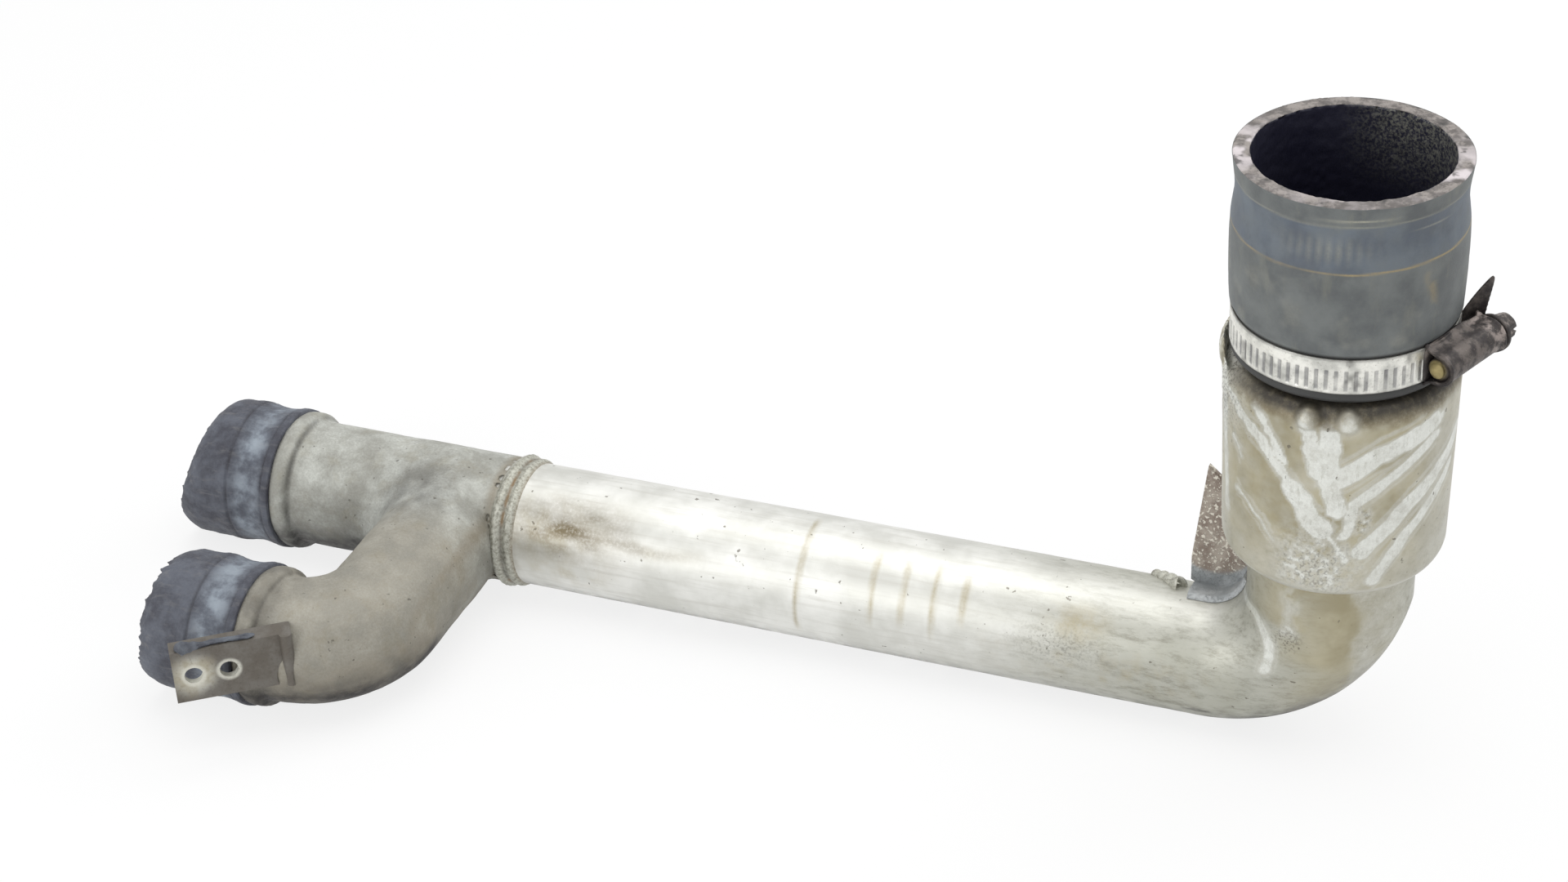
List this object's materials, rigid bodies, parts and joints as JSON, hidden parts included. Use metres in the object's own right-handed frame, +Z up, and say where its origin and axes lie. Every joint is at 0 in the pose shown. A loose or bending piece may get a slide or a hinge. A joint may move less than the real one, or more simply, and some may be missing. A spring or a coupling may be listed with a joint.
{
  "type": "charge-air pressure pipe",
  "caption": "Rigid aluminium charge-air pressure pipe with a resonator can, a clamped rubber hose on top and a cast branch with torn hose stubs.",
  "frame": {"origin": "middle of the footprint, at floor level", "axes": "+Z up along the can and the top hose, +X along the tube from the branch to the elbow, -Y towards the side branch"},
  "size_m": [0.4938, 0.1728, 0.2267],
  "materials": {
    "tube_aluminium": "satin, stained",
    "cast_aluminium": "sand-cast, matt",
    "can_aluminium": "stained and wiped",
    "weld_metal": "rough bead",
    "sleeve_aluminium": "dull",
    "hose_rubber": "matt",
    "stub_rubber": "matt, torn",
    "strap_steel": "oxidised",
    "housing_steel": "dark, corroded",
    "screw_steel": "dark, corroded",
    "bracket_steel": "rusty"
  },
  "bodies": {
    "root": {"main_pipe": "tube_aluminium", "branch_casting": "cast_aluminium", "branch_weld": "weld_metal", "resonator_can": "can_aluminium", "can_weld": "weld_metal", "perforated_sleeve": "sleeve_aluminium", "top_hose": "hose_rubber", "clamp_band": "strap_steel", "clamp_housing": "housing_steel", "clamp_screw": "screw_steel", "upper_hose_stub": "stub_rubber", "lower_hose_stub": "stub_rubber", "tab_bracket": "bracket_steel", "tab_weld": "weld_metal", "gusset_bracket": "bracket_steel", "gusset_weld": "weld_metal"}
  },
  "joints": []
}
